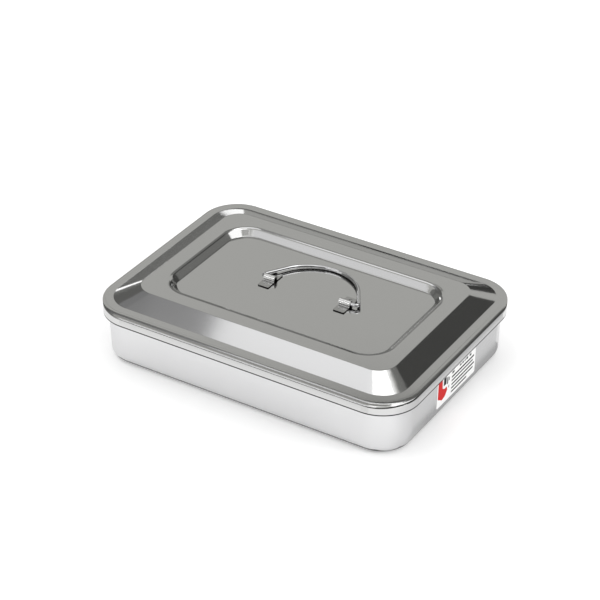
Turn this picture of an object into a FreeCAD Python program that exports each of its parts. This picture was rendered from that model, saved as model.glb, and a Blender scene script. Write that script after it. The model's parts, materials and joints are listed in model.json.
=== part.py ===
import FreeCAD, Part
import math
import os
import Sketcher

# Covered instrument tray: a deep-drawn pan with a rolled rim, a pressed lid that lifts off,
# and a wire bail that swings in two strap saddles welded to the lid.
# Origin: centre of the underside. +Z up, +X along the long side, +Y to the back.

os.makedirs("parts", exist_ok=True)
doc = FreeCAD.newDocument("instrument_tray")

# Driving sizes, millimetres and degrees
SIZES = [
    ("sheet", 0.6, "steel sheet of the pan and the lid"),
    ("lid_length", 260.0, "over the skirt, along X"),
    ("lid_width", 183.0, "over the skirt, along Y"),
    ("lid_corner", 29.0, "corner radius of the skirt seen from above"),
    ("skirt_depth", 11.4, "skirt, from the top of the rim to its lower edge"),
    ("edge_radius", 2.0, "rounding between the lid's rim and its skirt, outside"),
    ("rim_width", 8.1, "flat rim of the lid, to the foot of the slope"),
    ("foot_corner", 21.0, "corner radius at the foot of the slope"),
    ("slope_run_long", 16.8, "run of the slope on the long sides"),
    ("slope_run_short", 15.6, "run of the slope on the short sides"),
    ("plateau_rise", 6.8, "top of the plateau above the rim"),
    ("plateau_corner", 15.0, "corner radius of the plateau's outer edge"),
    ("plateau_width", 13.5, "width of the raised plateau ring"),
    ("recess_corner", 21.0, "corner radius of the recess at its mouth"),
    ("recess_depth", 5.1, "panel below the plateau"),
    ("recess_run", 5.0, "run of the recess wall"),
    ("crease_radius", 1.2, "rounding of the slope's creases, outside"),
    ("mouth_radius", 3.6, "rounding at the recess's mouth, outside"),
    ("panel_radius", 1.2, "rounding between the recess's wall and the panel, inside"),
    ("tray_height", 47.4, "from the floor to the top of the rolled rim"),
    ("tray_draft", 1.0, "draw angle of the pan's walls"),
    ("floor_radius", 7.5, "rounding between wall and floor, outside"),
    ("lid_gap", 0.4, "play between the skirt and the rolled rim"),
    ("roll_width", 3.0, "how far the rolled rim stands out of the wall"),
    ("roll_radius", 1.5, "outer radius of the roll"),
    ("roll_return", 1.0, "straight end of the roll, back under the rim"),
    ("lip_radius", 0.9, "rounding at the mouth of the pan"),
    ("wire", 2.8, "diameter of the bail's wire"),
    ("bail_reach", 35.2, "from the pins' axis to the top of the arch"),
    ("bail_span", 83.5, "between the legs, where they would meet the pins' axis"),
    ("bail_splay", 31.0, "lean of each leg away from square"),
    ("bail_elbow", 2.0, "bend between leg and pin, at the wire's centre"),
    ("bail_pin", 8.0, "straight length of each pin"),
    ("pin_rounding", 0.5, "rounded tips of the pins"),
    ("bail_shift", 1.7, "how far the bail has slid to the right between its saddles"),
    ("bail_x", 1.2, "middle of the saddles to the right of the middle of the lid"),
    ("bail_y", 1.4, "pins' axis behind the middle of the lid"),
    ("bail_rest_gap", 0.3, "arch above the panel when the bail is down"),
    ("pin_height", 2.75, "pins' axis above the panel"),
    ("pin_play", 0.1, "radial play of a pin in its saddle"),
    ("saddle_sheet", 0.8, "strap of the saddles"),
    ("saddle_width", 9.2, "strap width, along X"),
    ("saddle_length", 20.6, "over both flanges, along Y"),
    ("saddle_inset", 9.6, "middle of a saddle inside the place where a leg meets the pins' axis"),
    ("saddle_bend", 0.6, "inside bend between hump and flange"),
    ("saddle_corner", 0.8, "rounded corners of the flanges"),
    ("weld_size", 3.0, "diameter of a spot weld's dimple"),
    ("weld_depth", 0.15, "depth of a spot weld's dimple"),
    ("weld_inset", 3.6, "spot weld from the end of a flange"),
    ("label_length", 57.0, "sticker, along Y"),
    ("label_height", 23.0, "sticker, up the wall"),
    ("label_floor", 9.0, "lower edge of the sticker above the floor"),
    ("label_y", 1.2, "middle of the sticker behind the middle of the wall"),
    ("label_thick", 0.15, "thickness of the sticker"),
    ("label_corner", 1.5, "rounded corners of the sticker"),
]

sheet = doc.addObject("Spreadsheet::Sheet", "Sizes")
for row, (alias, value, meaning) in enumerate(SIZES, start=1):
    sheet.set(f"A{row}", alias)
    sheet.set(f"B{row}", str(value))
    sheet.set(f"C{row}", meaning)
    sheet.setAlias(f"B{row}", alias)
doc.recompute()


def of_sizes(text):
    """Write @name as a reference to that cell of the sheet."""
    return text.replace("@", "Sizes.")


def number(text):
    """Work out an expression of the sheet's values."""
    result = sheet.evalExpression(of_sizes(text))
    return float(getattr(result, "Value", result))


# Sizes that follow from the driving ones
FOOT_LENGTH = "(@lid_length - 2 * @rim_width)"
FOOT_WIDTH = "(@lid_width - 2 * @rim_width)"
PLATEAU_LENGTH = f"({FOOT_LENGTH} - 2 * @slope_run_short)"
PLATEAU_WIDTH = f"({FOOT_WIDTH} - 2 * @slope_run_long)"
RECESS_LENGTH = f"({PLATEAU_LENGTH} - 2 * @plateau_width)"
RECESS_WIDTH = f"({PLATEAU_WIDTH} - 2 * @plateau_width)"
RECESS_ANGLE = "atan(@recess_run / @recess_depth)"
SLOPE_SHIFT_LONG = "(2 * @sheet * tan(atan(@plateau_rise / @slope_run_long) / 2))"
SLOPE_SHIFT_SHORT = "(2 * @sheet * tan(atan(@plateau_rise / @slope_run_short) / 2))"
RECESS_SHIFT = "(2 * @sheet * tan(atan(@recess_depth / @recess_run) / 2))"
BEND_INSIDE = "(@crease_radius - @sheet)"
PLATEAU_TOP = "(@sheet + @plateau_rise)"
PANEL_TOP = f"({PLATEAU_TOP} - @recess_depth)"
WALL_INSET = "(@sheet + @lid_gap + @roll_width)"
TRAY_LENGTH = f"(@lid_length - 2 * {WALL_INSET})"
TRAY_WIDTH = f"(@lid_width - 2 * {WALL_INSET})"
TRAY_CORNER = f"(@lid_corner - {WALL_INSET})"
RIM_ROOT = f"({TRAY_WIDTH} / 2 - @sheet / 2)"
PANEL_HEIGHT = f"(@tray_height + {PANEL_TOP})"
PIN_HEIGHT = f"({PANEL_HEIGHT} + @pin_height)"
WIRE_RADIUS = "(@wire / 2)"
HUMP_INSIDE = f"({WIRE_RADIUS} + @pin_play)"
HUMP_OUTSIDE = f"({HUMP_INSIDE} + @saddle_sheet)"
SADDLE_OFFSET = "(@bail_span / 2 - @saddle_inset)"
BAIL_TILT = f"asin((@pin_height - {WIRE_RADIUS} - @bail_rest_gap) / @bail_reach)"
ARCH_CENTRE = "((@bail_reach - @bail_span / 2 * cos(@bail_splay)) / (1 - sin(@bail_splay)))"
ARCH_RADIUS = f"(@bail_reach - {ARCH_CENTRE})"
PIN_START = "(@bail_span / 2 - @bail_elbow * tan((90 + @bail_splay) / 2))"
PIN_TIP = f"({PIN_START} - @bail_pin)"


# Names for the ends of sketch lines and for the sketch's own origin and axes
START, END, CENTRE = range(1, 4)
ORIGIN = (-1, 1)
X_AXIS, Y_AXIS = -1, -2

# Millimetres by which an edge may miss the place where it is looked for
CLOSE = 0.01


def near(value, expected):
    return abs(value - expected) < CLOSE


def plane_of(body, role):
    return next(item for item in body.Origin.OriginFeatures if item.Role == role)


def new_body(label):
    body = doc.addObject("PartDesign::Body", label)
    body.Label = label
    return body


def new_sketch(body, name, role="XY_Plane", height=None):
    """A sketch on one of the body's own planes, moved along its normal by height."""
    sketch = body.newObject("Sketcher::SketchObject", name)
    sketch.AttachmentSupport = [(plane_of(body, role), "")]
    sketch.MapMode = "FlatFace"
    if height is not None:
        sketch.setExpression("AttachmentOffset.Base.z", of_sizes(height))
    return sketch


def name_constraint(sketch, constraint, name, expression):
    """Add a constraint and tie it to the sheet."""
    index = sketch.addConstraint(constraint)
    sketch.renameConstraint(index, name)
    sketch.setExpression(f"Constraints.{name}", of_sizes(expression))


def rounded_rectangle(sketch, length, width, corner):
    """A rounded rectangle centred on the sketch's origin, fully constrained."""
    half_l = number(length) / 2
    half_w = number(width) / 2
    radius = number(corner)
    run_l = half_l - radius
    run_w = half_w - radius

    def line(x1, y1, x2, y2):
        return Part.LineSegment(FreeCAD.Vector(x1, y1, 0), FreeCAD.Vector(x2, y2, 0))

    def arc(x, y, start):
        circle = Part.Circle(FreeCAD.Vector(x, y, 0), FreeCAD.Vector(0, 0, 1), radius)
        return Part.ArcOfCircle(circle, math.radians(start), math.radians(start + 90))

    sketch.addGeometry([
        line(-run_l, half_w, run_l, half_w),
        arc(run_l, run_w, 0),
        line(half_l, run_w, half_l, -run_w),
        arc(run_l, -run_w, 270),
        line(run_l, -half_w, -run_l, -half_w),
        arc(-run_l, -run_w, 180),
        line(-half_l, -run_w, -half_l, run_w),
        arc(-run_l, run_w, 90),
    ])
    for side in (0, 2, 4, 6):
        after = side + 1
        before = (side - 1) % 8
        sketch.addConstraint(Sketcher.Constraint("Tangent", side, END, after, END))
        sketch.addConstraint(Sketcher.Constraint("Tangent", before, START, side, START))
    for side, way in ((0, "Horizontal"), (2, "Vertical"), (4, "Horizontal"), (6, "Vertical")):
        sketch.addConstraint(Sketcher.Constraint(way, side))
    for corner_arc in (3, 5, 7):
        sketch.addConstraint(Sketcher.Constraint("Equal", 1, corner_arc))
    sketch.addConstraint(Sketcher.Constraint("Symmetric", 0, START, 4, START, *ORIGIN))
    name_constraint(sketch, Sketcher.Constraint("DistanceX", 6, START, 2, START, 2 * half_l),
                    "length", length)
    name_constraint(sketch, Sketcher.Constraint("DistanceY", 4, START, 0, START, 2 * half_w),
                    "width", width)
    name_constraint(sketch, Sketcher.Constraint("Radius", 1, radius), "corner", corner)
    sketch.recompute()


def pad(body, name, sketch, length, taper=None, down=False, both_ways=False):
    feature = body.newObject("PartDesign::Pad", name)
    feature.Profile = sketch
    feature.Reversed = down
    feature.Midplane = both_ways
    feature.setExpression("Length", of_sizes(length))
    if taper:
        feature.setExpression("TaperAngle", of_sizes(taper))
    feature.recompute()
    return feature


def pocket(body, name, sketch, depth, taper=None, up=False, both_ways=False):
    """A pocket that goes down from its sketch, or up; it has to take material away."""
    before = body.Tip.Shape.Volume
    feature = body.newObject("PartDesign::Pocket", name)
    feature.Profile = sketch
    feature.Reversed = up
    feature.Midplane = both_ways
    feature.setExpression("Length", of_sizes(depth))
    if taper:
        feature.setExpression("TaperAngle", of_sizes(taper))
    feature.recompute()
    if feature.Shape.Volume >= before:
        raise RuntimeError(f"{name} cuts nothing")
    return feature


def fillet(body, name, edges, radius):
    base = body.Tip
    feature = body.newObject("PartDesign::Fillet", name)
    feature.Base = (base, edges)
    feature.setExpression("Radius", of_sizes(radius))
    feature.recompute()
    return feature


def loop_at(body, height, within=None):
    """Edges of the body's last feature that lie flat at a height, as Edge names.

    within keeps only the edges inside a length and a width.
    """
    level = number(height)
    names = []
    for index, edge in enumerate(body.Tip.Shape.Edges, start=1):
        box = edge.BoundBox
        flat = near(box.ZMin, level) and near(box.ZMax, level)
        middle = edge.valueAt((edge.FirstParameter + edge.LastParameter) / 2)
        if within:
            length, width = (number(size) for size in within)
            flat = flat and abs(middle.x) < length / 2 and abs(middle.y) < width / 2
        if flat:
            names.append(f"Edge{index}")
    return names


def vector(x, y):
    return FreeCAD.Vector(x, y, 0)


# Pan: drawn walls with a draw angle, rounded floor, and a rim rolled outwards
def make_tray():
    body = new_body("tray")
    mouth = new_sketch(body, "MouthOutline", height="@tray_height")
    rounded_rectangle(mouth, TRAY_LENGTH, TRAY_WIDTH, TRAY_CORNER)
    pad(body, "DrawnBlock", mouth, "@tray_height", taper="0 - @tray_draft", down=True)
    inside = new_sketch(body, "CavityOutline", height="@tray_height")
    rounded_rectangle(inside, f"({TRAY_LENGTH} - 2 * @sheet)", f"({TRAY_WIDTH} - 2 * @sheet)",
                      f"({TRAY_CORNER} - @sheet)")
    pocket(body, "Cavity", inside, "@tray_height - @sheet", taper="0 - @tray_draft")
    fillet(body, "FloorInside", loop_at(body, "@sheet"), "@floor_radius - @sheet")
    fillet(body, "FloorOutside", loop_at(body, "0"), "@floor_radius")

    path = new_sketch(body, "RimPath", height="@tray_height")
    rounded_rectangle(path, TRAY_LENGTH, TRAY_WIDTH, TRAY_CORNER)
    profile = rim_profile(body)
    pipe(body, "RolledRim", profile, path, 8)
    mouth_size = (f"({TRAY_LENGTH} - @sheet)", f"({TRAY_WIDTH} - @sheet)")
    fillet(body, "MouthRounding", loop_at(body, "@tray_height", within=mouth_size), "@lip_radius")
    return body


def rim_profile(body):
    """Section of the rim behind the wall: flat on top, rolled round, returned under itself."""
    sketch = new_sketch(body, "RimSection", role="YZ_Plane",
                        height=f"{TRAY_CORNER} - {TRAY_LENGTH} / 2")
    outer = number("@roll_radius")
    inner = number("@roll_radius - @sheet")
    root = number(RIM_ROOT)
    top = number("@tray_height")
    middle_y = number(f"{TRAY_WIDTH} / 2 + @roll_width - @roll_radius")
    middle_z = top - outer
    end_y = middle_y - number("@roll_return")
    skin = number("@sheet")

    def line(y1, z1, y2, z2):
        return Part.LineSegment(vector(y1, z1), vector(y2, z2))

    def half_round(radius):
        circle = Part.Circle(vector(middle_y, middle_z), FreeCAD.Vector(0, 0, 1), radius)
        return Part.ArcOfCircle(circle, -math.pi / 2, math.pi / 2)

    sketch.addGeometry([
        line(root, top, middle_y, top),
        half_round(outer),
        line(middle_y, middle_z - outer, end_y, middle_z - outer),
        line(end_y, middle_z - outer, end_y, middle_z - inner),
        line(end_y, middle_z - inner, middle_y, middle_z - inner),
        half_round(inner),
        line(middle_y, top - skin, root, top - skin),
        line(root, top - skin, root, top),
    ])
    for first, first_end, second, second_end in (
            (0, END, 1, END), (1, START, 2, START), (4, END, 5, START), (5, END, 6, START)):
        sketch.addConstraint(Sketcher.Constraint("Tangent", first, first_end, second, second_end))
    for first, second in ((2, 3), (3, 4), (6, 7)):
        sketch.addConstraint(Sketcher.Constraint("Coincident", first, END, second, START))
    sketch.addConstraint(Sketcher.Constraint("Coincident", 7, END, 0, START))
    for side in (0, 4):
        sketch.addConstraint(Sketcher.Constraint("Horizontal", side))
    for side in (3, 7):
        sketch.addConstraint(Sketcher.Constraint("Vertical", side))
    sketch.addConstraint(Sketcher.Constraint("Coincident", 1, CENTRE, 5, CENTRE))
    name_constraint(sketch, Sketcher.Constraint("Radius", 1, outer), "roll", "@roll_radius")
    name_constraint(sketch, Sketcher.Constraint("Radius", 5, inner), "bore", "@roll_radius - @sheet")
    name_constraint(sketch, Sketcher.Constraint("DistanceX", *ORIGIN, 0, START, root),
                    "root", RIM_ROOT)
    name_constraint(sketch, Sketcher.Constraint("DistanceY", *ORIGIN, 0, START, top),
                    "top", "@tray_height")
    name_constraint(sketch, Sketcher.Constraint("DistanceX", 0, START, 0, END, middle_y - root),
                    "flat", "@sheet / 2 + @roll_width - @roll_radius")
    name_constraint(sketch, Sketcher.Constraint("DistanceX", 2, END, 2, START, middle_y - end_y),
                    "tail", "@roll_return")
    sketch.recompute()
    return sketch


def pipe(body, name, profile, path, edge_count):
    feature = body.newObject("PartDesign::AdditivePipe", name)
    feature.Profile = profile
    feature.Spine = (path, [f"Edge{index}" for index in range(1, edge_count + 1)])
    feature.Mode = "Standard"
    feature.Transition = "Transformed"
    feature.recompute()
    return feature


def loft(body, kind, name, bottom, top):
    feature = body.newObject(f"PartDesign::{kind}Loft", name)
    feature.Profile = bottom
    feature.Sections = [top]
    feature.Ruled = True
    feature.recompute()
    return feature


# Lid: skirt, flat rim, slope up to a plateau ring, and a recessed panel in the middle.
# Its own zero height is the underside of the rim, which rests on the pan.
def make_lid():
    body = new_body("lid")
    make_skirt(body)
    make_slope(body)
    make_recess(body)
    body.setExpression("Placement.Base.z", of_sizes("@tray_height"))
    return body


def make_skirt(body):
    outline = new_sketch(body, "SkirtOutline", height="@sheet - @skirt_depth")
    rounded_rectangle(outline, "@lid_length", "@lid_width", "@lid_corner")
    pad(body, "SkirtBlock", outline, "@skirt_depth")
    inside = new_sketch(body, "SkirtInside", height="@sheet - @skirt_depth")
    rounded_rectangle(inside, "@lid_length - 2 * @sheet", "@lid_width - 2 * @sheet",
                      "@lid_corner - @sheet")
    pocket(body, "SkirtHollow", inside, "@skirt_depth - @sheet", up=True)
    fillet(body, "RimUnderside", loop_at(body, "0"), "@edge_radius - @sheet")
    fillet(body, "RimEdge", loop_at(body, "@sheet"), "@edge_radius")


def make_slope(body):
    foot = new_sketch(body, "SlopeFoot", height="@sheet")
    rounded_rectangle(foot, FOOT_LENGTH, FOOT_WIDTH, "@foot_corner")
    top = new_sketch(body, "PlateauOutline", height=PLATEAU_TOP)
    rounded_rectangle(top, PLATEAU_LENGTH, PLATEAU_WIDTH, "@plateau_corner")
    loft(body, "Additive", "Slope", foot, top)

    under_foot = new_sketch(body, "SlopeFootUnder", height="0")
    rounded_rectangle(under_foot, f"{FOOT_LENGTH} - {SLOPE_SHIFT_SHORT}",
                      f"{FOOT_WIDTH} - {SLOPE_SHIFT_LONG}", "@foot_corner")
    under_top = new_sketch(body, "PlateauUnder", height="@plateau_rise")
    rounded_rectangle(under_top, f"{PLATEAU_LENGTH} - {SLOPE_SHIFT_SHORT}",
                      f"{PLATEAU_WIDTH} - {SLOPE_SHIFT_LONG}", "@plateau_corner")
    loft(body, "Subtractive", "SlopeHollow", under_foot, under_top)

    near_foot = (f"({FOOT_LENGTH} + @sheet)", f"({FOOT_WIDTH} + @sheet)")
    fillet(body, "FootUnderside", loop_at(body, "0", within=near_foot), "@crease_radius")
    fillet(body, "PlateauUnderside", loop_at(body, "@plateau_rise"), BEND_INSIDE)
    fillet(body, "FootCrease", loop_at(body, "@sheet", within=near_foot), BEND_INSIDE)
    fillet(body, "PlateauCrease", loop_at(body, PLATEAU_TOP), "@crease_radius")


def make_recess(body):
    under = new_sketch(body, "RecessUnder", height="@plateau_rise")
    rounded_rectangle(under, f"{RECESS_LENGTH} + {RECESS_SHIFT}", f"{RECESS_WIDTH} + {RECESS_SHIFT}",
                      f"@recess_corner + {RECESS_SHIFT} / 2")
    pad(body, "RecessUnderside", under, "@recess_depth", taper=f"-{RECESS_ANGLE}", down=True)
    near_recess = (f"({RECESS_LENGTH} + @plateau_width)", f"({RECESS_WIDTH} + @plateau_width)")
    fillet(body, "MouthUnderside", loop_at(body, "@plateau_rise", within=near_recess),
           "@mouth_radius - @sheet")
    fillet(body, "PanelUnderside", loop_at(body, f"{PANEL_TOP} - @sheet"), "@panel_radius + @sheet")

    mouth = new_sketch(body, "RecessMouth", height=PLATEAU_TOP)
    rounded_rectangle(mouth, RECESS_LENGTH, RECESS_WIDTH, "@recess_corner")
    pocket(body, "Recess", mouth, "@recess_depth", taper=f"-{RECESS_ANGLE}")
    fillet(body, "MouthCrease", loop_at(body, PLATEAU_TOP, within=near_recess), "@mouth_radius")
    fillet(body, "PanelCrease", loop_at(body, PANEL_TOP), "@panel_radius")


# Bail: round wire, an arch between two straight splayed legs, and pins turned inwards.
# Its own X is the pins' axis.
def make_bail():
    body = new_body("bail_handle")
    route = new_sketch(body, "WireRoute")
    bail_route(route)
    section = new_sketch(body, "WireSection", role="YZ_Plane", height=f"-{PIN_TIP}")
    section.addGeometry(Part.Circle(vector(0, 0), FreeCAD.Vector(0, 0, 1), number(WIRE_RADIUS)))
    section.addConstraint(Sketcher.Constraint("Coincident", 0, CENTRE, *ORIGIN))
    name_constraint(section, Sketcher.Constraint("Radius", 0, number(WIRE_RADIUS)),
                    "wire", WIRE_RADIUS)
    section.recompute()
    pipe(body, "BentWire", section, route, 7)
    tips = []
    for index, edge in enumerate(body.Tip.Shape.Edges, start=1):
        box = edge.BoundBox
        if near(box.XLength, 0) and near(abs(box.XMin), number(PIN_TIP)):
            tips.append(f"Edge{index}")
    fillet(body, "PinTips", tips, "@pin_rounding")
    tilt_down = FreeCAD.Rotation(FreeCAD.Vector(-1, 0, 0), number(BAIL_TILT))
    body.Placement = FreeCAD.Placement(FreeCAD.Vector(), tilt_down)
    body.setExpression("Placement.Base.x", of_sizes("@bail_x + @bail_shift"))
    body.setExpression("Placement.Base.y", of_sizes("@bail_y"))
    body.setExpression("Placement.Base.z", of_sizes(PIN_HEIGHT))
    body.setExpression("Placement.Rotation.Angle", of_sizes(BAIL_TILT))
    return body


def bail_route(sketch):
    """The wire's centre line from pin to pin: elbow, leg, arch, leg, elbow."""
    splay = math.radians(number("@bail_splay"))
    elbow = number("@bail_elbow")
    arch = number(ARCH_RADIUS)
    pin_x = number(PIN_START)
    tip_x = number(PIN_TIP)
    centre_y = number("@bail_reach") - arch
    bend_x = pin_x + elbow * math.cos(splay)
    bend_y = elbow + elbow * math.sin(splay)
    top_x = arch * math.cos(splay)
    top_y = centre_y + arch * math.sin(splay)

    def line(x1, y1, x2, y2):
        return Part.LineSegment(vector(x1, y1), vector(x2, y2))

    def arc(x, y, radius, start, end):
        circle = Part.Circle(vector(x, y), FreeCAD.Vector(0, 0, 1), radius)
        return Part.ArcOfCircle(circle, start, end)

    sketch.addGeometry([
        line(-tip_x, 0, -pin_x, 0),
        arc(-pin_x, elbow, elbow, math.pi - splay, 3 * math.pi / 2),
        line(-bend_x, bend_y, -top_x, top_y),
        arc(0, centre_y, arch, splay, math.pi - splay),
        line(top_x, top_y, bend_x, bend_y),
        arc(pin_x, elbow, elbow, -math.pi / 2, splay),
        line(pin_x, 0, tip_x, 0),
    ])
    meetings = ((0, END, 1, END), (1, START, 2, START), (2, END, 3, END),
                (3, START, 4, START), (4, END, 5, END), (5, START, 6, START))
    for first, first_end, second, second_end in meetings:
        sketch.addConstraint(Sketcher.Constraint("Tangent", first, first_end, second, second_end))
    for pin in (0, 6):
        sketch.addConstraint(Sketcher.Constraint("Horizontal", pin))
    sketch.addConstraint(Sketcher.Constraint("Equal", 0, 6))
    sketch.addConstraint(Sketcher.Constraint("Equal", 1, 5))
    sketch.addConstraint(Sketcher.Constraint("Symmetric", 0, START, 6, END, Y_AXIS))
    sketch.addConstraint(Sketcher.Constraint("PointOnObject", 0, START, X_AXIS))
    sketch.addConstraint(Sketcher.Constraint("PointOnObject", 3, CENTRE, Y_AXIS))
    name_constraint(sketch, Sketcher.Constraint("Radius", 5, elbow), "elbow", "@bail_elbow")
    name_constraint(sketch, Sketcher.Constraint("Radius", 3, arch), "arch", ARCH_RADIUS)
    name_constraint(sketch, Sketcher.Constraint("DistanceX", *ORIGIN, 6, START, pin_x),
                    "elbow_start", PIN_START)
    name_constraint(sketch, Sketcher.Constraint("DistanceX", *ORIGIN, 6, END, tip_x),
                    "tip", PIN_TIP)
    name_constraint(sketch, Sketcher.Constraint("Angle", 4, splay - math.pi / 2),
                    "lean", "@bail_splay - 90")
    sketch.recompute()


def arched_profile(sketch, radius, height):
    """An upright U turned over: straight sides and a round top about a point at a height."""
    r = number(radius)
    rise = number(height)
    circle = Part.Circle(vector(0, rise), FreeCAD.Vector(0, 0, 1), r)
    sketch.addGeometry([
        Part.LineSegment(vector(-r, 0), vector(r, 0)),
        Part.LineSegment(vector(r, 0), vector(r, rise)),
        Part.ArcOfCircle(circle, 0, math.pi),
        Part.LineSegment(vector(-r, rise), vector(-r, 0)),
    ])
    sketch.addConstraint(Sketcher.Constraint("Coincident", 0, END, 1, START))
    sketch.addConstraint(Sketcher.Constraint("Tangent", 1, END, 2, START))
    sketch.addConstraint(Sketcher.Constraint("Tangent", 2, END, 3, START))
    sketch.addConstraint(Sketcher.Constraint("Coincident", 3, END, 0, START))
    sketch.addConstraint(Sketcher.Constraint("Horizontal", 0))
    sketch.addConstraint(Sketcher.Constraint("Vertical", 1))
    sketch.addConstraint(Sketcher.Constraint("Vertical", 3))
    sketch.addConstraint(Sketcher.Constraint("PointOnObject", 0, START, X_AXIS))
    sketch.addConstraint(Sketcher.Constraint("PointOnObject", 2, CENTRE, Y_AXIS))
    name_constraint(sketch, Sketcher.Constraint("Radius", 2, r), "radius", radius)
    name_constraint(sketch, Sketcher.Constraint("DistanceY", *ORIGIN, 2, CENTRE, rise),
                    "height", height)
    sketch.recompute()


# Saddle: a strap bent over the pin, with a flange welded to the panel in front and behind.
# Its own zero height is the panel's surface.
def make_saddle(label, side):
    body = new_body(label)
    flanges = new_sketch(body, "FlangeOutline")
    rounded_rectangle(flanges, "@saddle_width", "@saddle_length", "@saddle_corner")
    pad(body, "Flanges", flanges, "@saddle_sheet")
    hump = new_sketch(body, "HumpOutside", role="YZ_Plane")
    arched_profile(hump, HUMP_OUTSIDE, "@pin_height")
    pad(body, "Hump", hump, "@saddle_width", both_ways=True)
    tunnel = new_sketch(body, "HumpInside", role="YZ_Plane")
    arched_profile(tunnel, HUMP_INSIDE, "@pin_height")
    pocket(body, "Tunnel", tunnel, "@saddle_width", both_ways=True)
    fillet(body, "BendsAbove", lines_at(body, "@saddle_sheet", HUMP_OUTSIDE), "@saddle_bend")
    fillet(body, "BendsBelow", lines_at(body, "0", HUMP_INSIDE), "@saddle_bend + @saddle_sheet")
    welds = new_sketch(body, "WeldSpots", height="@saddle_sheet")
    weld_y = "@saddle_length / 2 - @weld_inset"
    for spot, way in enumerate((1, -1)):
        place = vector(0, way * number(weld_y))
        welds.addGeometry(Part.Circle(place, FreeCAD.Vector(0, 0, 1), number("@weld_size / 2")))
        welds.addConstraint(Sketcher.Constraint("PointOnObject", spot, CENTRE, Y_AXIS))
        name_constraint(welds, Sketcher.Constraint("Diameter", spot, number("@weld_size")),
                        f"size{spot}", "@weld_size")
    name_constraint(welds, Sketcher.Constraint("DistanceY", *ORIGIN, 0, CENTRE, number(weld_y)),
                    "back", weld_y)
    name_constraint(welds, Sketcher.Constraint("DistanceY", 1, CENTRE, *ORIGIN, number(weld_y)),
                    "front", weld_y)
    welds.recompute()
    pocket(body, "WeldDimples", welds, "@weld_depth")
    body.setExpression("Placement.Base.x", of_sizes(f"@bail_x + {side} * {SADDLE_OFFSET}"))
    body.setExpression("Placement.Base.y", of_sizes("@bail_y"))
    body.setExpression("Placement.Base.z", of_sizes(PANEL_HEIGHT))
    return body


def lines_at(body, height, half_width):
    """Straight edges along X at a height, half_width in front of and behind the middle."""
    names = []
    for index, edge in enumerate(body.Tip.Shape.Edges, start=1):
        box = edge.BoundBox
        along_x = near(box.YLength, 0) and near(box.ZLength, 0)
        placed = near(box.ZMin, number(height)) and near(abs(box.YMin), number(half_width))
        if along_x and placed:
            names.append(f"Edge{index}")
    return names


# Sticker on the right end wall, lying on the drafted face
def make_label():
    body = new_body("end_label")
    outline = new_sketch(body, "StickerOutline", role="YZ_Plane")
    lean_out = FreeCAD.Rotation(FreeCAD.Vector(1, 0, 0), number("@tray_draft"))
    outline.AttachmentOffset = FreeCAD.Placement(FreeCAD.Vector(), lean_out)
    middle = "(@label_floor + @label_height / 2)"
    wall = f"({TRAY_LENGTH} / 2 - (@tray_height - {middle}) * tan(@tray_draft))"
    outline.setExpression("AttachmentOffset.Base.x", of_sizes("@label_y"))
    outline.setExpression("AttachmentOffset.Base.y", of_sizes(middle))
    outline.setExpression("AttachmentOffset.Base.z", of_sizes(wall))
    outline.setExpression("AttachmentOffset.Rotation.Angle", of_sizes("@tray_draft"))
    rounded_rectangle(outline, "@label_length", "@label_height", "@label_corner")
    pad(body, "Sticker", outline, "@label_thick")
    return body


parts = [
    make_tray(),
    make_label(),
    make_lid(),
    make_saddle("left_saddle", -1),
    make_saddle("right_saddle", 1),
    make_bail(),
]
doc.recompute()

for item in doc.Objects:
    if "Invalid" in item.State or "Error" in item.State:
        raise RuntimeError(f"{item.Name} failed: {item.getStatusString()}")
for part in parts:
    shape = part.Shape
    if shape.isNull() or not shape.isValid() or len(shape.Solids) != 1:
        raise RuntimeError(f"{part.Label} is not one valid solid")
for part in parts:
    part.Shape.exportStep(os.path.join("parts", part.Label + ".step"))
    print(f"{part.Label}: {part.Shape.Volume / 1000:.2f} cm3")
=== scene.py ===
import json
import math

import bmesh
import bpy
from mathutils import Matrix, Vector

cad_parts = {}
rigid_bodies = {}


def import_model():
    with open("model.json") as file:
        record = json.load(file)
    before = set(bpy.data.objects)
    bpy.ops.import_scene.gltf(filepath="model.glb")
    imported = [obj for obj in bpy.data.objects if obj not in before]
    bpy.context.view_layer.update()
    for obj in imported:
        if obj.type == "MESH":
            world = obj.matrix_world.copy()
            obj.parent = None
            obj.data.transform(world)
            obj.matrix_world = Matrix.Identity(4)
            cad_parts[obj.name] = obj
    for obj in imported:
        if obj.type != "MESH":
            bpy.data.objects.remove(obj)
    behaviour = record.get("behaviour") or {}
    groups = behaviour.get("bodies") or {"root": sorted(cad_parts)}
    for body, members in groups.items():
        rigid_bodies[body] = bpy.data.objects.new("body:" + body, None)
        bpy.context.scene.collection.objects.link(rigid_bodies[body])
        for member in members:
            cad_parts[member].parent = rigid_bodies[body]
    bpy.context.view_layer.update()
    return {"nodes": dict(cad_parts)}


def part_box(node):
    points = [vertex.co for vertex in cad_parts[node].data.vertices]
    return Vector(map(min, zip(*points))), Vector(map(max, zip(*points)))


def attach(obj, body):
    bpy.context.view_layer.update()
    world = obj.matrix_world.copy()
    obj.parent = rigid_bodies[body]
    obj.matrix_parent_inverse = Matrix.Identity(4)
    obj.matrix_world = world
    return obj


# Looks of a covered steel instrument tray: satin pressed lid, satin drawn pan, polished wire
# bail, strap saddles and a printed sticker on the right end wall. Metres, in the CAD's frame.

for leftover in list(bpy.data.objects):
    bpy.data.objects.remove(leftover)

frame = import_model()
scene = bpy.context.scene
scene.view_settings.view_transform = "Standard"

# Camera, from the view that the photograph was taken in
CAMERA_AZIMUTH = 31.871
CAMERA_ELEVATION = 32.484
CAMERA_DISTANCE = 1.50455
CAMERA_TARGET = Vector((0.00022, -0.0074, 0.048))
CAMERA_LENS = 124.17


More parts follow.
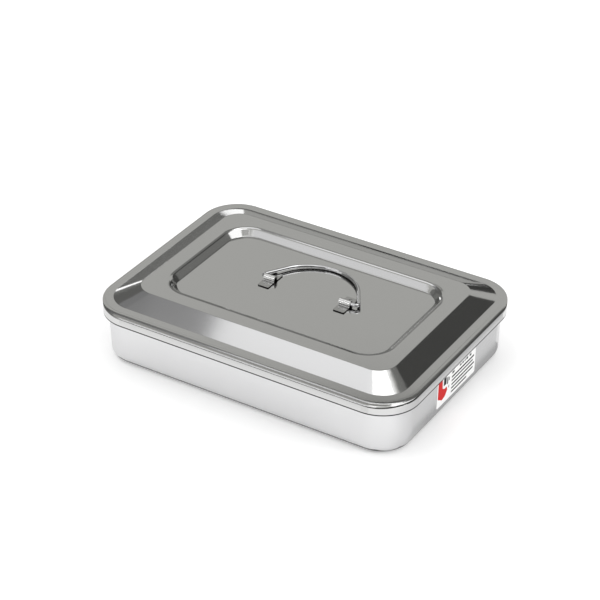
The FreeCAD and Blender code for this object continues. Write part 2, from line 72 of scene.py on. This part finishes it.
def direction(azimuth, elevation):
    """Unit vector; azimuth 0 points to the back and 90 to the right, elevation is upwards."""
    a = math.radians(azimuth)
    e = math.radians(elevation)
    return Vector((math.sin(a) * math.cos(e), math.cos(a) * math.cos(e), math.sin(e)))


def make_camera():
    data = bpy.data.cameras.new("camera")
    data.lens = CAMERA_LENS
    camera = bpy.data.objects.new("camera", data)
    scene.collection.objects.link(camera)
    back = direction(180 - CAMERA_AZIMUTH, CAMERA_ELEVATION)
    camera.location = CAMERA_TARGET + back * CAMERA_DISTANCE
    camera.rotation_euler = back.to_track_quat("Z", "Y").to_euler()
    scene.camera = camera


# Places of a mix node's first and second input and its output
MIX_VECTORS = (4, 5, 1)
MIX_COLOURS = (6, 7, 2)


class Nodes:
    """Short calls for building one node tree."""

    def __init__(self, owner):
        owner.use_nodes = True
        self.tree = owner.node_tree
        self.tree.nodes.clear()

    def add(self, kind, settings=None, **inputs):
        node = self.tree.nodes.new(kind)
        for name, value in (settings or {}).items():
            setattr(node, name, value)
        for name, value in inputs.items():
            self.feed(node.inputs[name.replace("_", " ")], value)
        return node

    def feed(self, socket, value):
        if isinstance(value, bpy.types.NodeSocket):
            self.tree.links.new(value, socket)
        else:
            socket.default_value = value

    def math(self, operation, first, second=0.0):
        node = self.tree.nodes.new("ShaderNodeMath")
        node.operation = operation
        self.feed(node.inputs[0], first)
        self.feed(node.inputs[1], second)
        return node.outputs[0]

    def vector(self, operation, first, second=(0, 0, 0), output="Vector"):
        node = self.tree.nodes.new("ShaderNodeVectorMath")
        node.operation = operation
        self.feed(node.inputs[0], first)
        self.feed(node.inputs["Scale" if operation == "SCALE" else 1], second)
        return node.outputs[output]

    def place(self, scale=(1, 1, 1)):
        """Coordinates in metres in the object's own frame, stretched by scale."""
        where = self.add("ShaderNodeTexCoord").outputs["Object"]
        return self.add("ShaderNodeMapping", Vector=where, Scale=scale).outputs["Vector"]

    def noise(self, vector, scale, detail):
        node = self.add("ShaderNodeTexNoise", Vector=vector, Scale=scale, Detail=detail)
        return node.outputs["Fac"]

    def ranged(self, value, low, high, out_low, out_high):
        node = self.add("ShaderNodeMapRange", Value=value, From_Min=low, From_Max=high,
                        To_Min=out_low, To_Max=out_high)
        return node.outputs["Result"]

    def height(self):
        """Height in metres in the object's own frame."""
        where = self.add("ShaderNodeTexCoord").outputs["Object"]
        return self.add("ShaderNodeSeparateXYZ", Vector=where).outputs["Z"]

    def curve(self, value, points):
        """The straight lines between points (value, result), for values from 0 to 1."""
        node = self.add("ShaderNodeFloatCurve", Value=value)
        line = node.mapping.curves[0].points
        for at, result in points[1:-1]:
            line.new(at, result)
        for point, (at, result) in zip(line, points):
            point.location = (at, result)
            point.handle_type = "VECTOR"
        node.mapping.update()
        return node.outputs["Value"]

    def mix(self, kind, places, amount, first, second):
        """What lies between first and second; places are those of the inputs and the output."""
        node = self.add("ShaderNodeMix", {"data_type": kind})
        self.feed(node.inputs[0], amount)
        self.feed(node.inputs[places[0]], first)
        self.feed(node.inputs[places[1]], second)
        return node.outputs[places[2]]

    def mix_vectors(self, amount, first, second):
        return self.mix("VECTOR", MIX_VECTORS, amount, first, second)

    def leaned(self, sine, toward):
        """A normal that leans from straight up toward a level direction."""
        square = self.math("MULTIPLY", sine, sine)
        cosine = self.math("SQRT", self.math("SUBTRACT", 1.0, square))
        up = self.vector("SCALE", (0, 0, 1), cosine)
        return self.vector("ADD", up, self.vector("SCALE", toward, sine))

    def blend(self, amount, first, second):
        """A colour between two colours, each given as a node's output or as three values."""
        first, second = (colour if hasattr(colour, "node") else (*colour, 1)
                         for colour in (first, second))
        return self.mix("RGBA", MIX_COLOURS, amount, first, second)


# Noise in the metal: sizes per metre, detail, and the span that it mostly keeps within
METAL_DETAIL = 3.0
SMUDGE_SCALE = 22.0
WAVE_SCALE = 9.0
WAVE_DETAIL = 1.0
NOISE_SPAN = (0.3, 0.7)
SMUDGE_TONE = 0.985

# Sticker stock and ink: fibres per metre, and what they do to colour, gloss and height
FIBRE_SCALE = 900.0
FIBRE_DETAIL = 4.0
FIBRE_TONE = 0.96
FIBRE_SPREAD = 0.05
FIBRE_DEPTH = 0.000004
PAPER_SPECULAR = 0.15

LID_COLOUR = (0.71, 0.71, 0.705)
PAN_COLOUR = (0.81, 0.81, 0.815)
SADDLE_COLOUR = (0.56, 0.56, 0.555)
WIRE_COLOUR = (0.78, 0.78, 0.79)
# Colour of painted shade: the dark line in the gap under the lid's skirt, the dark sides of the
# straps' flanges and the darkening in crevices
PAINTED_SHADE = (0.03, 0.03, 0.03)
# Lighter tone of a strap's bend: a painted highlight
BEND_HIGHLIGHT = (0.93, 0.93, 0.925)

# Painted shade in crevices: open share of the sky at which a crevice is painted quite dark,
# and at which it isn't darkened at all
CREVICE_SHADE_SPAN = (0.2, 0.75)
CREVICE_SHADE_REACH = 0.003
CREVICE_SHADE_SAMPLES = 8

# Grain runs along X on the sheets: long streaks about 0.4 mm wide
SHEET_GRAIN = (60, 2400, 2400)
STRAP_GRAIN = (2600, 500, 500)
WIRE_GRAIN = (900, 900, 900)


def steel(name, colour, roughness, spread, grain, grain_depth, wave_depth=0.0, edge=None,
          soften=None, crevice_shade=0.0, painted_highlight=None):
    """Sheet or wire steel: fine grain along the axis that grain stretches least, faint smudges.

    roughness is the mean and spread how far the grain and the smudges move it. edge makes the
    mask of painted shade, such as the dark line in the gap under the lid's skirt, from the nodes,
    and soften the normals under the grain. crevice_shade is how far away another surface darkens
    this one with painted shade, and painted_highlight makes the mask of what is painted lighter
    as a highlight.
    """
    material = bpy.data.materials.new(name)
    nodes = Nodes(material)
    lines = nodes.noise(nodes.place(grain), 1.0, METAL_DETAIL)
    smudges = nodes.noise(nodes.place(), SMUDGE_SCALE, METAL_DETAIL)
    mixed = nodes.math("ADD", nodes.math("MULTIPLY", lines, 0.5),
                       nodes.math("MULTIPLY", smudges, 0.5))
    rough = nodes.ranged(mixed, *NOISE_SPAN, roughness - spread, roughness + spread)
    tone = nodes.blend(mixed, [part * SMUDGE_TONE for part in colour], colour)
    # Painted highlight where the highlight mask is set
    if painted_highlight:
        tone = nodes.blend(painted_highlight(nodes), tone, BEND_HIGHLIGHT)
    # Painted shade where the edge mask is set
    if edge:
        tone = nodes.blend(edge(nodes), tone, PAINTED_SHADE)
    # Painted shade: the colour darkens towards near black where other surfaces close in
    if crevice_shade:
        open_part = nodes.add("ShaderNodeAmbientOcclusion", {"samples": CREVICE_SHADE_SAMPLES},
                              Distance=crevice_shade)
        tone = nodes.blend(nodes.ranged(open_part.outputs["AO"], *CREVICE_SHADE_SPAN, 0.0, 1.0),
                           PAINTED_SHADE, tone)
    height = nodes.math("MULTIPLY", lines, grain_depth)
    if wave_depth:
        waves = nodes.noise(nodes.place(), WAVE_SCALE, WAVE_DETAIL)
        height = nodes.math("ADD", height, nodes.math("MULTIPLY", waves, wave_depth))
    bump = nodes.add("ShaderNodeBump", Height=height, Distance=1.0, Strength=1.0)
    if soften:
        nodes.feed(bump.inputs["Normal"], soften(nodes))
    shader = nodes.add("ShaderNodeBsdfPrincipled", Base_Color=tone, Metallic=1.0,
                       Roughness=rough, Normal=bump.outputs["Normal"])
    nodes.add("ShaderNodeOutputMaterial", Surface=shader.outputs["BSDF"])
    return material


def coated_paper(name, colour, roughness):
    """Sticker stock or its ink: a faint fibre mottle under a thin gloss."""
    material = bpy.data.materials.new(name)
    nodes = Nodes(material)
    fibres = nodes.noise(nodes.place(), FIBRE_SCALE, FIBRE_DETAIL)
    tone = nodes.blend(fibres, [part * FIBRE_TONE for part in colour], colour)
    rough = nodes.ranged(fibres, *NOISE_SPAN, roughness - FIBRE_SPREAD,
                         roughness + FIBRE_SPREAD)
    bump = nodes.add("ShaderNodeBump", Height=nodes.math("MULTIPLY", fibres, FIBRE_DEPTH),
                     Distance=1.0, Strength=1.0)
    shader = nodes.add("ShaderNodeBsdfPrincipled", Base_Color=tone, Roughness=rough,
                       Specular_IOR_Level=PAPER_SPECULAR, Normal=bump.outputs["Normal"])
    nodes.add("ShaderNodeOutputMaterial", Surface=shader.outputs["BSDF"])
    return material


def dress(node, material):
    for slot in frame["nodes"][node].material_slots:
        slot.material = material


# Heights above the skirt's bottom between which the painted shade at the bottom of the lid's
# skirt fades out: a dark line for the shadow in the gap over the pan
SKIRT_GAP_SHADE = (0.0008, 0.0010)

# Heights above the flanges between which a strap's bend gets its painted highlight, a lighter
# tone
FLANGE_THICK = 0.0008
BEND_HIGHLIGHT_SPAN = (0.0006, 0.0020)

# A strap's sides are cut faces, painted dark where the normal's upward part is small and no
# higher above the flanges than this: painted shade for the shadow in the gap along the flanges
CUT_FACE = (0.15, 0.3)
CUT_FACE_TOP = 0.0008


def skirt_gap_shade(nodes):
    """Painted shade along the bottom of the lid's skirt: a dark line for the shadow in the gap
    over the pan.
    """
    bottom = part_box("lid")[0].z
    return nodes.ranged(nodes.height(), bottom + SKIRT_GAP_SHADE[0], bottom + SKIRT_GAP_SHADE[1], 1.0, 0.0)


def strap_side_shade(nodes):
    """Painted shade on the cut faces of a strap's flanges, which stand upright next to the panel:
    dark outlines for the shadow in the gap along the flanges.
    """
    normal = nodes.add("ShaderNodeNewGeometry").outputs["Normal"]
    across = nodes.add("ShaderNodeSeparateXYZ", Vector=normal)
    upward = nodes.math("ABSOLUTE", across.outputs["Z"])
    upright = nodes.ranged(upward, *CUT_FACE, 1.0, 0.0)
    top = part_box("left_saddle")[0].z + FLANGE_THICK
    low = nodes.ranged(nodes.height(), top, top + CUT_FACE_TOP, 1.0, 0.0)
    return nodes.math("MULTIPLY", upright, low)


def strap_bend_highlight(nodes):
    """The bend of a strap over the pin, painted lighter than its flanges: a painted highlight."""
    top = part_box("left_saddle")[0].z + FLANGE_THICK
    low, high = BEND_HIGHLIGHT_SPAN
    return nodes.ranged(nodes.height(), top + low, top + high, 0.0, 1.0)


# The lid's edge turns from the level rim to the upright skirt over this depth. The curves have
# points (share of the depth, share of the turn), for the lid's ends and for its long sides.
EDGE_TURN = 0.0058
END_CURVE = ((0.0, 0.0), (0.33, 0.055), (0.41, 0.27), (0.535, 0.42), (0.67, 0.63), (0.79, 0.745),
             (0.93, 0.93), (1.0, 1.0))
SIDE_CURVE = ((0.0, 0.0), (0.54, 0.02), (0.58, 0.35), (0.8, 0.5), (0.84, 0.71), (0.95, 0.77),
              (1.0, 1.0))
RIM_ABOVE_SKIRT = 0.0114

# Share of the outward direction along Y over which the ends' curve gives way to the sides' one
LONG_SIDE = (0.6, 1.0)

# The turned normals stand only below the rim's flat, on faces that look outwards or upwards
EDGE_START = 0.00002
EDGE_FACING = (-0.05, 0.9999)

# The recess's mouth: half its straight sides, its corner's radius, its rounding's radius, and
# how far outside and inside the mouth's line the rounding starts and ends
MOUTH_SIDES = (0.0718, 0.0321, 0.0)
MOUTH_CORNER = 0.021
MOUTH_RADIUS = 0.008
MOUTH_START = 0.0033
MOUTH_END = -0.0023
MOUTH_FACING = 0.5
SLOPE_SINE = 0.707

# The wider rounding fades out round the corners towards the back and the left
MOUTH_FADE = (-0.9, -0.2)


def soft_edge(nodes, normal):
    """Normals that turn the rim into the skirt more softly than the sheet's own edge."""
    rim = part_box("lid")[0].z + RIM_ABOVE_SKIRT
    depth = nodes.math("SUBTRACT", rim, nodes.height())
    outward = nodes.vector("NORMALIZE", nodes.vector("MULTIPLY", normal, (1, 1, 0)))
    forward = nodes.add("ShaderNodeSeparateXYZ", Vector=outward).outputs["Y"]
    side = nodes.ranged(nodes.math("ABSOLUTE", forward), *LONG_SIDE, 0.0, 1.0)
    turned = nodes.math("MINIMUM", nodes.math("DIVIDE", depth, EDGE_TURN), 1.0)
    at_side = nodes.math("MULTIPLY", nodes.curve(turned, SIDE_CURVE), side)
    at_end = nodes.math("MULTIPLY", nodes.curve(turned, END_CURVE),
                        nodes.math("SUBTRACT", 1.0, side))
    share = nodes.math("ADD", at_side, at_end)
    sine = nodes.math("SINE", nodes.math("MULTIPLY", share, math.pi / 2))
    facing = nodes.add("ShaderNodeSeparateXYZ", Vector=normal).outputs["Z"]
    here = nodes.math("MULTIPLY", nodes.math("GREATER_THAN", depth, EDGE_START),
                      nodes.math("GREATER_THAN", facing, EDGE_FACING[0]))
    here = nodes.math("MULTIPLY", here, nodes.math("LESS_THAN", facing, EDGE_FACING[1]))
    return nodes.mix_vectors(here, normal, nodes.leaned(sine, outward))


def soft_mouth(nodes, normal):
    """Normals that turn the plateau into the recess's wall over a wider rounding."""
    where = nodes.vector("MULTIPLY", nodes.place(), (1, 1, 0))
    past = nodes.vector("SUBTRACT", nodes.vector("ABSOLUTE", where), MOUTH_SIDES)
    past = nodes.vector("MAXIMUM", past, (0, 0, 0))
    beyond = nodes.math("SUBTRACT", nodes.vector("LENGTH", past, output="Value"), MOUTH_CORNER)
    inward = nodes.vector("MULTIPLY", nodes.vector("NORMALIZE", past),
                          nodes.vector("SIGN", where))
    inward = nodes.vector("SCALE", inward, -1.0)
    sine = nodes.math("DIVIDE", nodes.math("SUBTRACT", MOUTH_START, beyond), MOUTH_RADIUS)
    sine = nodes.math("MINIMUM", nodes.math("MAXIMUM", sine, 0.0), SLOPE_SINE)
    facing = nodes.add("ShaderNodeSeparateXYZ", Vector=normal).outputs["Z"]
    here = nodes.math("MULTIPLY", nodes.math("LESS_THAN", beyond, MOUTH_START),
                      nodes.math("GREATER_THAN", beyond, MOUTH_END))
    here = nodes.math("MULTIPLY", here, nodes.math("GREATER_THAN", facing, MOUTH_FACING))
    parts = nodes.add("ShaderNodeSeparateXYZ", Vector=inward)
    near = nodes.math("SUBTRACT", parts.outputs["Y"], parts.outputs["X"])
    here = nodes.math("MULTIPLY", here, nodes.ranged(near, *MOUTH_FADE, 0.0, 1.0))
    return nodes.mix_vectors(here, normal, nodes.leaned(sine, inward))


def soft_creases(nodes):
    """The lid's normals, softer at its edge and at the recess's mouth."""
    normal = nodes.add("ShaderNodeNewGeometry").outputs["Normal"]
    return soft_mouth(nodes, soft_edge(nodes, normal))


def dress_metal():
    lid = steel("satin_lid", LID_COLOUR, roughness=0.11, spread=0.015, grain=SHEET_GRAIN,
                grain_depth=0.0000006, wave_depth=0.00004, edge=skirt_gap_shade, soften=soft_creases)
    pan = steel("satin_pan", PAN_COLOUR, roughness=0.24, spread=0.04, grain=SHEET_GRAIN,
                grain_depth=0.0000008, wave_depth=0.00004)
    strap = steel("strap", SADDLE_COLOUR, roughness=0.15, spread=0.05, grain=STRAP_GRAIN,
                  grain_depth=0.000002, edge=strap_side_shade, crevice_shade=CREVICE_SHADE_REACH,
                  painted_highlight=strap_bend_highlight)
    wire = steel("polished_wire", WIRE_COLOUR, roughness=0.07, spread=0.02, grain=WIRE_GRAIN,
                 grain_depth=0.0000004, crevice_shade=CREVICE_SHADE_REACH)
    dress("lid", lid)
    dress("tray", pan)
    dress("left_saddle", strap)
    dress("right_saddle", strap)
    dress("bail_handle", wire)


# Sticker: plain print that says nothing, in places given from its lower front corner
STICKER_THICK = 0.00015
INK_LIFT = 0.00003

# Colour and roughness
PAPER = ((0.88, 0.88, 0.875), 0.35)
RED_INK = ((0.58, 0.012, 0.012), 0.45)
GREY_INK = ((0.012, 0.012, 0.015), 0.5)

# The flag is a row of points, the square's field and marks are given by start, end, bottom, top
RED_FLAG = ((0.0012, 0.0078), (0.0012, 0.0225), (0.0072, 0.0225), (0.0078, 0.0138),
            (0.0105, 0.0120), (0.0140, 0.0122), (0.0150, 0.0090), (0.0120, 0.0052),
            (0.0075, 0.0040))
SQUARE_FIELD = (0.0082, 0.0185, 0.0132, 0.0222)
SQUARE_MARKS = ((0.0092, 0.0130, 0.0150, 0.0212), (0.0140, 0.0156, 0.0140, 0.0200),
                (0.0164, 0.0176, 0.0158, 0.0188), (0.0166, 0.0174, 0.0096, 0.0118))

# The title's bars by start and end, and the rows under it from the top one down
TITLE_BARS = ((0.0215, 0.0245), (0.0330, 0.0350), (0.0365, 0.0385), (0.0400, 0.0412),
              (0.0425, 0.0450), (0.0475, 0.0500))
TITLE_HEIGHT = (0.0186, 0.0204)
TEXT_START = 0.0212
TEXT_ENDS = (0.0545, 0.0530, 0.0550, 0.0535, 0.0440)
TEXT_TOP = 0.0166
TEXT_PITCH = 0.0032
TEXT_THICK = (0.0014, 0.0012, 0.0013, 0.0012, 0.0012)


def sticker_point(along, up, lift):
    """A point on the sticker's face, which leans outwards with the pan's drafted wall."""
    low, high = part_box("end_label")
    height = high.z - low.z
    lean = (high.x - low.x - STICKER_THICK) / height
    x = low.x + STICKER_THICK + lean * up + lift
    return (x, low.y + along, low.z + up)


def box_outline(start, end, bottom, top):
    return ((start, bottom), (end, bottom), (end, top), (start, top))


def ink(name, outlines, material, lift):
    """Flat printed shapes; each outline is a row of points (along, up the sticker)."""
    mesh = bpy.data.meshes.new(name)
    shape = bmesh.new()
    for outline in outlines:
        points = [shape.verts.new(sticker_point(along, up, lift)) for along, up in outline]
        shape.faces.new(points)
    shape.to_mesh(mesh)
    shape.free()
    mesh.materials.append(material)
    piece = bpy.data.objects.new(name, mesh)
    scene.collection.objects.link(piece)
    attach(piece, "tray")


def print_sticker():
    white = coated_paper("sticker_paper", *PAPER)
    red = coated_paper("red_ink", *RED_INK)
    grey = coated_paper("grey_ink", *GREY_INK)
    dress("end_label", white)
    ink("sticker_red", [RED_FLAG], red, INK_LIFT)
    ink("sticker_field", [box_outline(*SQUARE_FIELD)], white, 2 * INK_LIFT)
    marks = [box_outline(*mark) for mark in SQUARE_MARKS]
    marks += [box_outline(start, end, *TITLE_HEIGHT) for start, end in TITLE_BARS]
    for row, (end, thick) in enumerate(zip(TEXT_ENDS, TEXT_THICK)):
        top = TEXT_TOP - row * TEXT_PITCH
        marks.append(box_outline(TEXT_START, end, top - thick, top))
    ink("sticker_text", marks, grey, 3 * INK_LIFT)


# Studio: a pale floor with a little light of its own, an even sky, and cards round the object
FLOOR_HALF = 6.0
FLOOR_DROP = 0.0002
FLOOR_COLOUR = 0.84
FLOOR_GLOW = 0.24
FLOOR_GLOW_IN_METAL = 0.09
FILL_LEVEL = 0.92
BACKGROUND_LEVEL = 1.0
STUDIO_RADIUS = 2.0
STUDIO_CENTRE = Vector((0, 0, 0.05))

# Size of a curved card's facets in degrees, and how far apart two cards stand in metres
CARD_STEP = 3.0
CARD_SPACING = 0.01

# Soft lamps: name, place, target, size, power
LAMPS = (
    ("key", (-0.45, -0.3, 1.3), (0, 0, 0), 1.0, 4.0),
    ("side", (1.1, 0.1, 0.5), (0.12, 0, 0.02), 0.5, 4.0),
)

WARM = (1.0, 1.0, 0.965)
PLAIN = (1.0, 1.0, 1.0)
COOL = (0.985, 0.985, 1.0)

# Cards and flags that only the metal's reflections see: azimuths, elevations, level, tint.
# A later card stands in front of an earlier one.
CARDS = (
    ("dark_walls", (-180, 180), (-3, 40), 0.19, WARM),
    ("high_back", (-30, 45), (40, 60.5), 0.2, WARM),
    ("high_left", (-100, -30), (40, 60.5), 0.38, WARM),
    ("left_shade", (-95, -52), (22, 57), 0.14, WARM),
    ("left_edge", (-95, -60), (57, 60.5), 0.35, COOL),
    ("ceiling_left", (-100, -50), (60.5, 66), 0.92, COOL),
    ("ceiling_lamp", (-180, 180), (67, 90), 2.1, PLAIN),
    ("ceiling_step", (-100, -50), (64.5, 66.5), 1.05, COOL),
    ("ceiling_rise", (-100, -50), (66.5, 69), 1.25, COOL),
    ("corner_step", (-30, 45), (60.5, 63.5), 0.5, WARM),
    ("zenith", (-180, 180), (77.5, 90), 0.5, WARM),
    ("right_back", (5, 28), (-3, 40), 0.065, WARM),
    ("grey_back", (-52, 8), (24, 37.5), 0.49, WARM),
    ("right_window", (46, 116), (39, 68), 1.4, PLAIN),
    ("camera_side", (117, 165), (40, 62), 0.44, WARM),
    ("front_left", (-165, -125), (43, 67), 0.85, COOL),
    ("camera_dark", (95, 200), (-3, 40), 0.05, WARM),
    ("front_strip", (-172, -128), (18, 29), 2.2, PLAIN),
    ("front_low", (-172, -128), (3, 11), 0.3, PLAIN),
    ("left_front", (-125, -95), (38, 60), 0.31, WARM),
    ("low_left", (-60, -48), (6, 13), 1.6, PLAIN),
    ("back_left_low", (-44, -36), (4, 24), 0.3, WARM),
    ("corner_back", (-12, 8), (17, 25), 0.49, WARM),
    ("gap_back", (-24.5, -3), (-3, 18), 0.05, WARM),
    ("gap_light", (-22, -13), (4, 6.5), 0.95, PLAIN),
    ("back_window", (-42.5, -37.5), (-3, 2), 1.3, PLAIN),
)

# Flat cards near the tray, also for the metal only: X range, Y range, height, level, tint.
# Those at heights of half a metre hang over the tray's left part, the others lie on the floor.
FLAT_CARDS = (
    # The contact, near and right cards on the floor are painted shade: the floor's shadow beside
    # the pan's right end and to its right, as the metal sees it
    ("floor_shade_contact", (0.1242, 0.134), (-0.0855, 0.0855), 0.0002, 0.42, PLAIN),
    ("floor_shade_near", (0.134, 0.155), (-0.0855, 0.12), 0.0002, 0.72, PLAIN),
    ("table_back", (-0.42, 0.2), (0.2, 2.2), 0.002, 0.38, WARM),
    ("table_left", (-2.2, -0.42), (0.1, 2.2), 0.002, 0.12, WARM),
    ("floor_shade_right", (0.155, 0.6), (-0.11, 0.4), 0.002, 0.62, COOL),
    ("end_shade", (-0.62, -0.40), (-0.3, 0.2), 0.575, 0.24, COOL),
    ("near_shade", (-0.40, -0.3165), (-0.3, 0.2), 0.575, 0.32, COOL),
    ("near_ceiling", (-0.3165, -0.05), (-0.3, 0.2), 0.575, 1.1, COOL),
    ("edge_ceiling", (-0.62, 0.0), (-0.3, -0.035), 0.57, 0.5, WARM),
    ("skirt_floor", (-0.4, 0.1), (-0.3, -0.14), 0.0002, 0.92, PLAIN),
)

# Dark upright card beside the tray's right end, which the rim's rounded edge shows there:
# its X, Y range and heights
RIGHT_FLAG = (0.35, (-0.05, 0.55), (0.0, 0.28))
RIGHT_FLAG_LEVEL = 0.06

# Dark upright card behind the tray, which the lid's right slope shows
SLOPE_FLAG = ((0.17, 0.8, 0.6), (0.42, 0.8, 0.6), (0.42, 0.8, 1.0), (0.17, 0.8, 1.0))
SLOPE_FLAG_LEVEL = 0.065

# Light wedge on the floor, which the lid's back left corner shows
CORNER_WEDGE = ((-0.183, 0.162, 0.003), (-0.164, 0.177, 0.003),
                (-0.4975, 0.711, 0.003), (-0.616, 0.619, 0.003))
CORNER_WEDGE_LEVEL = 1.3

# Painted shade: a dark card on the floor under the pan, with the pan's corners cut off, for the
# shaded floor there as the metal sees it
UNDER_PAN_SHADE = ((0.124, 0.071), (0.109, 0.0855), (-0.109, 0.0855), (-0.124, 0.071),
             (-0.124, -0.071), (-0.109, -0.0855), (0.109, -0.0855), (0.124, -0.071))
UNDER_PAN_HEIGHT = 0.0001
UNDER_PAN_SHADE_LEVEL = 0.12

# Cards that grow dense from their front end backwards, and how far that takes
FADES = {"floor_shade_contact": 0.055, "floor_shade_near": 0.07, "floor_shade_right": 0.13}


def glow(name, level, tint, front):
    """Light of a card whose front end is at Y front; the cards in FADES begin clear there."""
    material = bpy.data.materials.new(name)
    nodes = Nodes(material)
    light = nodes.add("ShaderNodeEmission", Color=(*tint, 1), Strength=level).outputs["Emission"]
    if name in FADES:
        along = nodes.add("ShaderNodeSeparateXYZ", Vector=nodes.place()).outputs["Y"]
        dense = nodes.ranged(along, front, front + FADES[name], 0.0, 1.0)
        clear = nodes.add("ShaderNodeBsdfTransparent").outputs["BSDF"]
        both = nodes.add("ShaderNodeMixShader")
        for place, value in enumerate((dense, clear, light)):
            nodes.feed(both.inputs[place], value)
        light = both.outputs["Shader"]
    nodes.add("ShaderNodeOutputMaterial", Surface=light)
    material.cycles.emission_sampling = "NONE"
    return material


def studio_card(name, azimuths, elevations, level, tint, radius):
    """A curved card round the object, on a sphere, seen only in reflections."""
    across = max(1, round((azimuths[1] - azimuths[0]) / CARD_STEP))
    up = max(1, round((elevations[1] - elevations[0]) / CARD_STEP))
    mesh = bpy.data.meshes.new(name)
    shape = bmesh.new()
    grid = []
    for i in range(across + 1):
        azimuth = azimuths[0] + (azimuths[1] - azimuths[0]) * i / across
        column = []
        for j in range(up + 1):
            elevation = elevations[0] + (elevations[1] - elevations[0]) * j / up
            place = STUDIO_CENTRE + direction(azimuth, elevation) * radius
            column.append(shape.verts.new(place))
        grid.append(column)
    for i in range(across):
        for j in range(up):
            shape.faces.new((grid[i][j], grid[i + 1][j], grid[i + 1][j + 1], grid[i][j + 1]))
    shape.to_mesh(mesh)
    shape.free()
    place_card(name, mesh, level, tint)


def upright_corners(x, along, heights):
    """Corners of a card that stands across X."""
    return [(x, along[0], heights[0]), (x, along[1], heights[0]),
            (x, along[1], heights[1]), (x, along[0], heights[1])]


def flat_card(name, corners, level, tint):
    mesh = bpy.data.meshes.new(name)
    mesh.from_pydata(corners, [], [range(len(corners))])
    place_card(name, mesh, level, tint)


def place_card(name, mesh, level, tint):
    """Puts up a card that neither the camera nor the floor sees."""
    front = min(vertex.co.y for vertex in mesh.vertices)
    mesh.materials.append(glow(name, level, tint, front))
    card = bpy.data.objects.new(name, mesh)
    scene.collection.objects.link(card)
    card.visible_camera = False
    card.visible_diffuse = False
    card.visible_shadow = False
    card.visible_transmission = False
    card.visible_volume_scatter = False


def background_rays(nodes):
    """1 for rays that come from the camera, from metal or through glass."""
    path = nodes.add("ShaderNodeLightPath")
    seen = nodes.math("MAXIMUM", path.outputs["Is Camera Ray"], path.outputs["Is Glossy Ray"])
    return nodes.math("MAXIMUM", seen, path.outputs["Is Transmission Ray"])


def floor_glow(nodes):
    """What the floor adds to its own light: less in the metal than straight to the camera."""
    path = nodes.add("ShaderNodeLightPath")
    direct = nodes.math("MULTIPLY", path.outputs["Is Camera Ray"], FLOOR_GLOW)
    mirrored = nodes.math("MULTIPLY", path.outputs["Is Glossy Ray"], FLOOR_GLOW_IN_METAL)
    return nodes.math("ADD", direct, mirrored)


def make_floor():
    material = bpy.data.materials.new("floor_paper")
    nodes = Nodes(material)
    matt = nodes.add("ShaderNodeBsdfDiffuse", Color=(FLOOR_COLOUR, FLOOR_COLOUR, FLOOR_COLOUR, 1))
    lift = nodes.add("ShaderNodeEmission", Strength=floor_glow(nodes))
    both = nodes.add("ShaderNodeAddShader")
    nodes.feed(both.inputs[0], matt.outputs["BSDF"])
    nodes.feed(both.inputs[1], lift.outputs["Emission"])
    nodes.add("ShaderNodeOutputMaterial", Surface=both.outputs["Shader"])
    mesh = bpy.data.meshes.new("floor")
    half = FLOOR_HALF
    corners = [(-half, -half, 0), (half, -half, 0), (half, half, 0), (-half, half, 0)]
    mesh.from_pydata(corners, [], [(0, 1, 2, 3)])
    mesh.materials.append(material)
    floor = bpy.data.objects.new("floor", mesh)
    floor.location.z = -FLOOR_DROP
    scene.collection.objects.link(floor)


def make_world():
    world = bpy.data.worlds.new("studio")
    scene.world = world
    nodes = Nodes(world)
    seen = background_rays(nodes)
    level = nodes.add("ShaderNodeMapRange", Value=seen, To_Min=FILL_LEVEL,
                      To_Max=BACKGROUND_LEVEL)
    sky = nodes.add("ShaderNodeBackground", Color=(1, 1, 1, 1), Strength=level.outputs["Result"])
    nodes.add("ShaderNodeOutputWorld", Surface=sky.outputs["Background"])


def make_lamp(name, place, target, size, power):
    data = bpy.data.lights.new(name, "AREA")
    data.shape = "SQUARE"
    data.size = size
    data.energy = power
    lamp = bpy.data.objects.new(name, data)
    lamp.location = place
    toward = (Vector(place) - Vector(target)).normalized()
    lamp.rotation_euler = toward.to_track_quat("Z", "Y").to_euler()
    lamp.visible_camera = False
    lamp.visible_glossy = False
    scene.collection.objects.link(lamp)


def make_studio():
    make_floor()
    make_world()
    for order, (name, azimuths, elevations, level, tint) in enumerate(CARDS):
        radius = STUDIO_RADIUS - order * CARD_SPACING
        studio_card(name, azimuths, elevations, level, tint, radius)
    for name, across, along, height, level, tint in FLAT_CARDS:
        corners = [(across[0], along[0], height), (across[1], along[0], height),
                   (across[1], along[1], height), (across[0], along[1], height)]
        flat_card(name, corners, level, tint)
    flat_card("right_flag", upright_corners(*RIGHT_FLAG), RIGHT_FLAG_LEVEL, WARM)
    flat_card("slope_flag", SLOPE_FLAG, SLOPE_FLAG_LEVEL, WARM)
    flat_card("corner_wedge", CORNER_WEDGE, CORNER_WEDGE_LEVEL, PLAIN)
    under = [(x, y, UNDER_PAN_HEIGHT) for x, y in UNDER_PAN_SHADE]
    flat_card("under_pan_shade", under, UNDER_PAN_SHADE_LEVEL, PLAIN)
    for lamp in LAMPS:
        make_lamp(*lamp)


make_camera()
dress_metal()
print_sticker()
make_studio()
